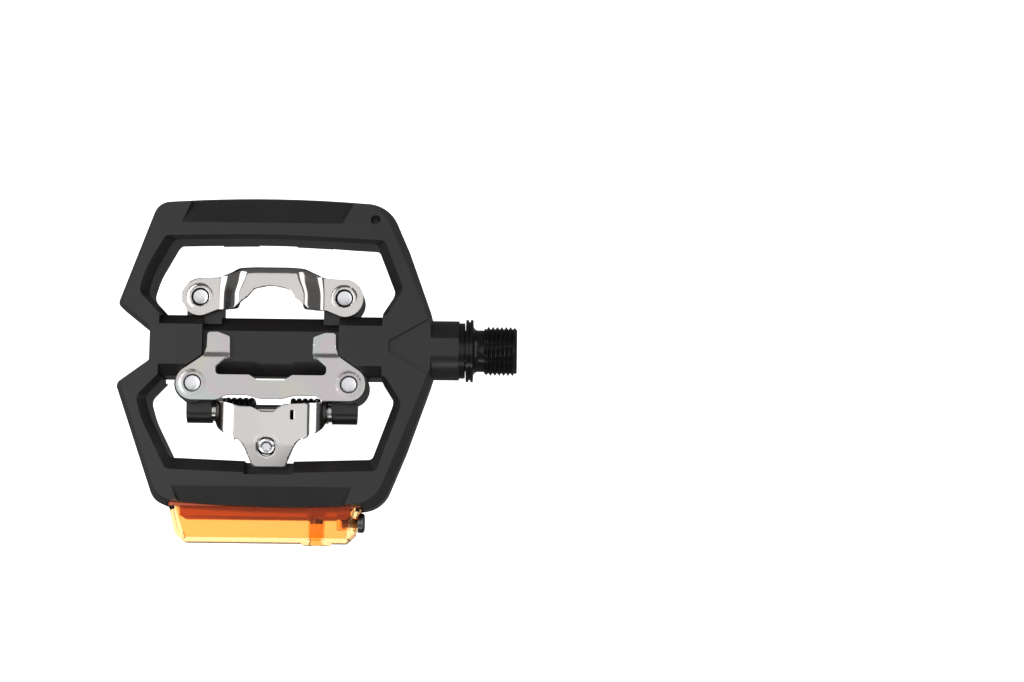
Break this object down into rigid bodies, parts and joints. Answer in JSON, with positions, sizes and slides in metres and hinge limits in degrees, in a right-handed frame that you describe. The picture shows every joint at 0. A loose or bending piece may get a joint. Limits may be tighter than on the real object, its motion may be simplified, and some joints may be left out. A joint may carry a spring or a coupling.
{
  "type": "clipless bicycle pedal",
  "caption": "Left bicycle pedal: caged platform with a sprung cleat mechanism on one side, a flat pinned side, and an amber reflector at the rear.",
  "frame": {"origin": "centre of the axle flange's crank-side face, on the axle's line", "axes": "+X along the axle towards the crank, +Y forward in the direction of riding, +Z out of the clip side"},
  "size_m": [0.1152, 0.1003, 0.0232],
  "materials": {
    "body_black": "satin black coat on cast aluminium",
    "black_axle": "gloss black oxide",
    "black_sleeve": "black anodised",
    "claw_chrome": "polished",
    "plate_zinc": "satin zinc plate with a faint rainbow",
    "screw_zinc": "bright zinc",
    "screw_dark": "dark zinc",
    "pin_steel": "ground",
    "pin_nickel": "warm nickel",
    "spring_black": "gloss black",
    "plate_black": "black",
    "bearing_steel": "ground",
    "cage_brass": "drawn",
    "bush_plastic": "natural polymer",
    "black_plastic": "fine grain",
    "seal_rubber": "matt",
    "reflector_amber": "transparent amber",
    "reflector_red": "opaque"
  },
  "bodies": {
    "axle": {"axle": "black_axle", "bearing_inner_ring": "bearing_steel", "axle_washer": "bearing_steel", "axle_locknut": "bearing_steel"},
    "cage": {"bearing_balls": "bearing_steel", "bearing_cage": "cage_brass"},
    "platform": {"platform_body": "body_black", "bearing_outer_ring": "bearing_steel", "dust_cap": "black_plastic", "inboard_bushing": "bush_plastic", "lock_sleeve": "black_sleeve", "axle_seal": "seal_rubber", "front_claw": "claw_chrome", "front_claw_screws": "screw_zinc", "rear_plate": "plate_zinc", "rear_plate_screws": "screw_zinc", "pivot_pin": "pin_steel", "pivot_bush_left": "pin_steel", "pivot_bush_right": "pin_steel", "spring_left": "spring_black", "spring_right": "spring_black", "traction_pins": "pin_nickel", "reflector_base": "reflector_red", "reflector_lens": "reflector_amber", "reflector_prisms": "reflector_amber", "reflector_mount_screw": "screw_dark", "reflector_side_screw": "screw_dark"},
    "claw": {"rear_claw": "claw_chrome"},
    "screw": {"tension_screw": "screw_zinc"},
    "nut_plate": {"tension_plate": "plate_black"}
  },
  "joints": [
    {"name": "platform_spin", "type": "hinge", "parent": "axle", "child": "platform", "pos_m": [-0.04, 0, 0], "axis": [1, 0, 0], "continuous": true},
    {"name": "cage_roll", "type": "hinge", "parent": "axle", "child": "cage", "pos_m": [-0.082, 0, 0], "axis": [1, 0, 0], "continuous": true},
    {"name": "claw_release", "type": "hinge", "parent": "platform", "child": "claw", "pos_m": [-0.0578, -0.018, -0.0007], "axis": [1, 0, 0], "range_deg": [0, 10], "stiffness_Nm_per_rad": 3, "springref_deg": -22.92, "deforming": ["spring_left", "spring_right"]},
    {"name": "tension_turn", "type": "hinge", "parent": "claw", "child": "screw", "pos_m": [-0.0585, -0.0293, 0.008], "axis": [0, -0.6, 0.8], "range_deg": [-545, 545]},
    {"name": "tension_travel", "type": "slide", "parent": "claw", "child": "nut_plate", "axis": [0, -0.6, 0.8], "range_m": [-0.0009, 0.0009]}
  ],
  "couplings": [
    {"joint": "cage_roll", "follows": "platform_spin", "ratio": 0.6111},
    {"joint": "tension_turn", "follows": "tension_travel", "rad_per_m": -10472}
  ]
}
